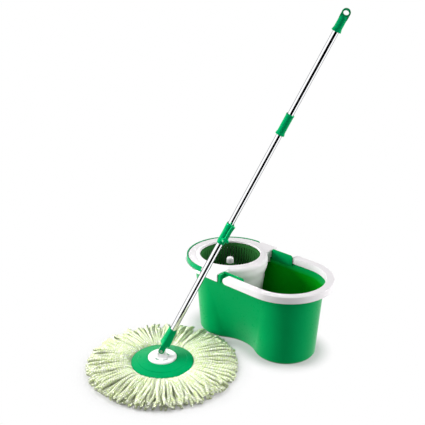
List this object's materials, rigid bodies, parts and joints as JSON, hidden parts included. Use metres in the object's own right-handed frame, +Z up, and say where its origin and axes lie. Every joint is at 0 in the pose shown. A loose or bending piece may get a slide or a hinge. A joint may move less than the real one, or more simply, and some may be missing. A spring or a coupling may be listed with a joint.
{
  "type": "spin mop",
  "caption": "Spin mop with its two-lobed wringer bucket: hand-press telescopic handle on a swivel plate with microfibre strands, slatted spin basket and folding carry handle",
  "frame": {"origin": "middle of the bucket's base, on the floor", "axes": "+X along the bucket from the basket to the open lobe, +Y away from the mop, +Z up"},
  "size_m": [0.5976, 0.662, 0.9917],
  "materials": {
    "green_shell": "gloss",
    "green_parts": "satin",
    "green_basket": "matte",
    "white_plastic": "satin",
    "chromed_steel": "polished",
    "bright_steel": "brushed",
    "nylon": "matte",
    "microfibre": "twisted yarn"
  },
  "bodies": {
    "bucket": {"bucket_shell": "green_shell", "rim_trim": "white_plastic", "spinner_deck": "white_plastic", "basket_spindle": "bright_steel", "thrust_washer": "nylon", "spindle_clip": "bright_steel"},
    "basket": {"spin_basket": "green_basket", "basket_bush": "nylon", "basket_knob": "white_plastic"},
    "carry_handle": {"carry_handle": "green_parts"},
    "hub": {"swivel_hub": "white_plastic", "hub_washer": "bright_steel", "hub_screw": "bright_steel"},
    "mop_head": {"mop_plate": "green_parts", "refill_ring": "white_plastic", "mop_strands": "microfibre"},
    "lower_handle": {"fork_socket": "green_parts", "tilt_pin": "bright_steel", "lower_tube": "chromed_steel", "socket_rivet": "bright_steel", "rod_anchor": "nylon", "drive_rod": "bright_steel", "clamp_body": "green_parts", "clamp_pin": "bright_steel"},
    "lever": {"lock_lever": "green_parts"},
    "slide_guide": {"slide_bush": "nylon"},
    "upper_handle": {"middle_tube": "chromed_steel", "upper_tube": "chromed_steel", "drive_nut": "nylon", "joint_collar": "green_parts", "joint_spigot": "nylon", "top_grip": "green_parts"}
  },
  "joints": [
    {"name": "basket_spin", "type": "hinge", "parent": "bucket", "child": "basket", "pos_m": [-0.109, 0, 0.2], "axis": [0, 0, 1], "continuous": true},
    {"name": "carry_handle_lift", "type": "hinge", "parent": "bucket", "child": "carry_handle", "pos_m": [-0.109, 0, 0.23], "axis": [0, 1, 0], "range_deg": [0, 90]},
    {"name": "mop_lift", "type": "slide", "parent": "bucket", "child": "hub", "axis": [0, -0.5, 0.866], "range_m": [0, 0.3]},
    {"name": "head_swivel", "type": "hinge", "parent": "hub", "child": "mop_head", "pos_m": [-0.0757, -0.3155, 0.02], "axis": [0, 0, 1], "continuous": true},
    {"name": "handle_tilt", "type": "hinge", "parent": "hub", "child": "lower_handle", "pos_m": [-0.0757, -0.3155, 0.055], "axis": [-0.5592, 0.829, 0], "range_deg": [-101, 49]},
    {"name": "lock_lever", "type": "hinge", "parent": "lower_handle", "child": "lever", "pos_m": [0.07986, -0.22656, 0.40176], "axis": [0.3204, 0.873, -0.3676], "range_deg": [0, 110]},
    {"name": "handle_press", "type": "slide", "parent": "lower_handle", "child": "slide_guide", "axis": [0.3634, 0.2451, 0.8988], "range_m": [-0.2, 0]},
    {"name": "handle_spin", "type": "hinge", "parent": "slide_guide", "child": "upper_handle", "pos_m": [0.06967, -0.21745, 0.41452], "axis": [0.3634, 0.2451, 0.8988], "range_deg": [-605, 5]}
  ],
  "couplings": [
    {"joint": "handle_spin", "follows": "handle_press", "rad_per_m": 52.36}
  ]
}
